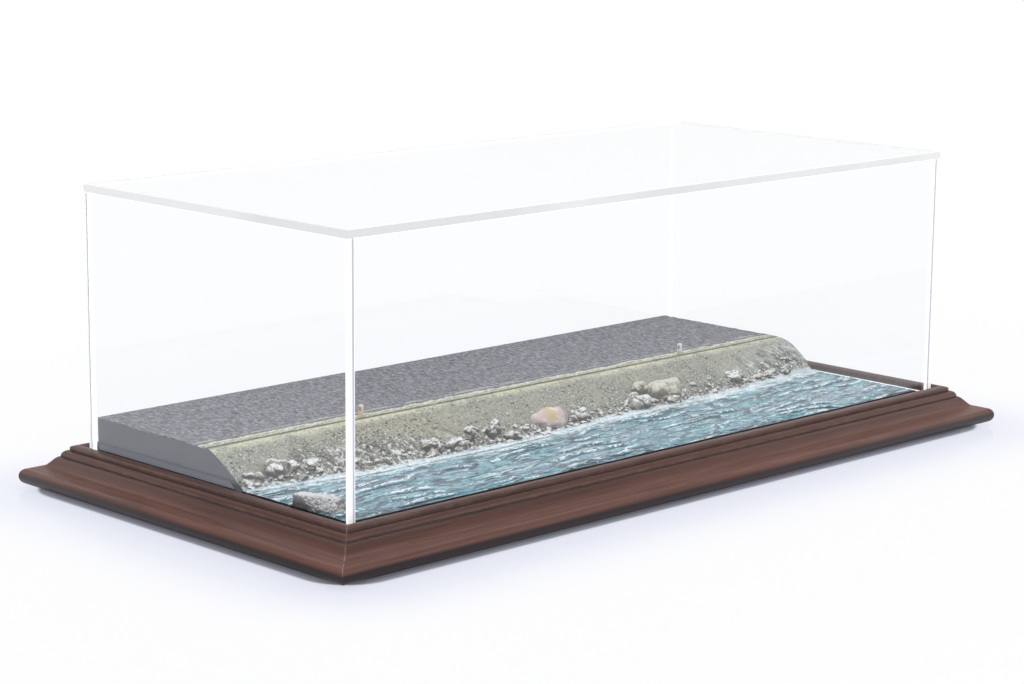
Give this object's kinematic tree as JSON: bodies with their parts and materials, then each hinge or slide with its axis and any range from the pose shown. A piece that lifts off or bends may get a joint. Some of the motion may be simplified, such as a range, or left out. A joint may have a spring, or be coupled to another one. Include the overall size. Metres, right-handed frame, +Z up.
{
  "type": "display case",
  "caption": "Clear lift-off acrylic cover on a moulded brown plinth, round a loose diorama insert with a coast road, stony bank and water.",
  "frame": {"origin": "on the floor, under the centre of the plinth", "axes": "+X along the long side, +Y towards the road side, +Z up; the water side faces -Y"},
  "size_m": [0.3636, 0.1886, 0.1163],
  "materials": {
    "stained_wood": "satin dark brown stain, worn on the bead crowns and mitres",
    "base_board": "satin dark brown stain on fibreboard",
    "spline_wood": "raw birch plywood",
    "screw_brass": "bright",
    "felt": "pressed felt",
    "clear_acrylic": "clear polished",
    "black_board": "matt black",
    "grey_core": "smooth grey paint",
    "asphalt": "fine grit, matt",
    "verge_gravel": "fine gravel and moss, matt",
    "ground_cover": "sand and static grass, matt",
    "water_gel": "gloss rippled gel",
    "foam": "satin white",
    "pink_stone": "matt",
    "pale_stone": "matt",
    "grey_stone": "matt, dry-brushed white",
    "rubble_stone": "matt, dry-brushed white",
    "flat_stone": "matt, frosted top",
    "post_peach": "painted",
    "post_white": "painted",
    "reflector": "gloss"
  },
  "bodies": {
    "plinth": {"front_rail": "stained_wood", "back_rail": "stained_wood", "left_rail": "stained_wood", "right_rail": "stained_wood", "base_board": "base_board", "corner_splines": "spline_wood", "board_screws": "screw_brass", "felt_feet": "felt"},
    "cover": {"cover_top": "clear_acrylic", "cover_front": "clear_acrylic", "cover_back": "clear_acrylic", "cover_left": "clear_acrylic", "cover_right": "clear_acrylic"},
    "insert": {"insert_board": "black_board", "road_core": "grey_core", "asphalt": "asphalt", "verge_strip": "verge_gravel", "bank": "ground_cover", "water": "water_gel", "foam_line": "foam", "pink_boulder": "pink_stone", "pale_boulders": "pale_stone", "grey_boulders": "grey_stone", "shore_rubble": "rubble_stone", "flat_rock": "flat_stone", "post_left": "post_peach", "post_right": "post_white", "post_reflectors": "reflector"}
  },
  "joints": [
    {"name": "cover_lift", "type": "slide", "parent": "plinth", "child": "cover", "axis": [0, 0, 1], "range_m": [0, 0.12]},
    {"name": "insert_lift", "type": "slide", "parent": "plinth", "child": "insert", "axis": [0, 0, 1], "range_m": [0, 0.05]}
  ]
}
